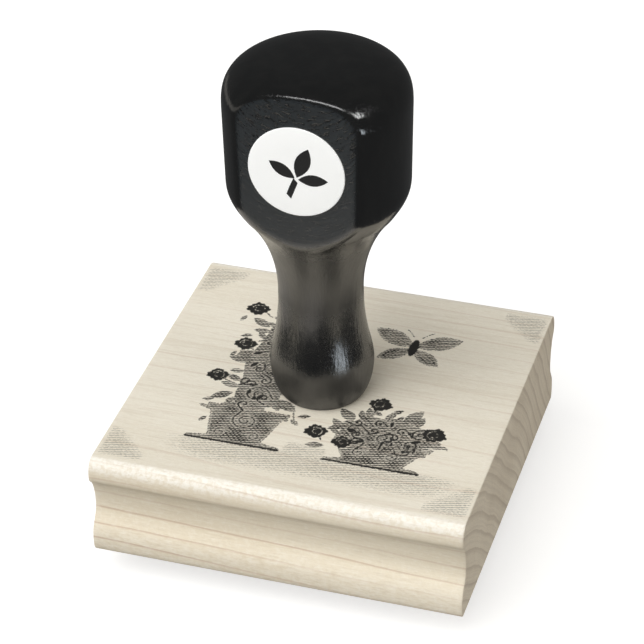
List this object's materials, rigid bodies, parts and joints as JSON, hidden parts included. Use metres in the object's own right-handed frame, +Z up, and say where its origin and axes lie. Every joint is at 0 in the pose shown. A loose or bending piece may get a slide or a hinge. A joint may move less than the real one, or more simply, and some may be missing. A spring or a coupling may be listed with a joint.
{
  "type": "rubber stamp",
  "caption": "Wood-mounted rubber stamp: a square maple block with moulded finger grips, a turned black handle with one flat on its knob, and a cushioned rubber die underneath.",
  "frame": {"origin": "on the printing face, under the middle of the block's overall width and depth", "axes": "+X along the wood grain to the user's right, -Y towards the user and the flat of the knob, +Z up through the handle"},
  "size_m": [0.0762, 0.0762, 0.1038],
  "materials": {
    "black_lacquer": "black gloss lacquer over turned wood, satin on the flat",
    "white_label": "smooth white label",
    "maple": "sanded pale maple, bare, with a printed picture on top",
    "zinc_screw": "yellow zinc plate",
    "adhesive": "translucent adhesive film",
    "foam": "fine closed-cell foam",
    "red_rubber": "matt moulded rubber"
  },
  "bodies": {
    "stamp": {"handle": "black_lacquer", "label_disc": "white_label", "mount_block": "maple", "handle_screw": "zinc_screw", "mounting_adhesive": "adhesive", "foam_cushion": "foam"},
    "die": {"die_adhesive": "adhesive", "rubber_die": "red_rubber"}
  },
  "joints": [
    {"name": "cushion_press", "type": "slide", "parent": "stamp", "child": "die", "axis": [0, 0, 1], "range_m": [0, 0.001], "stiffness_N_per_m": 5000, "deforming": ["foam_cushion"]}
  ]
}
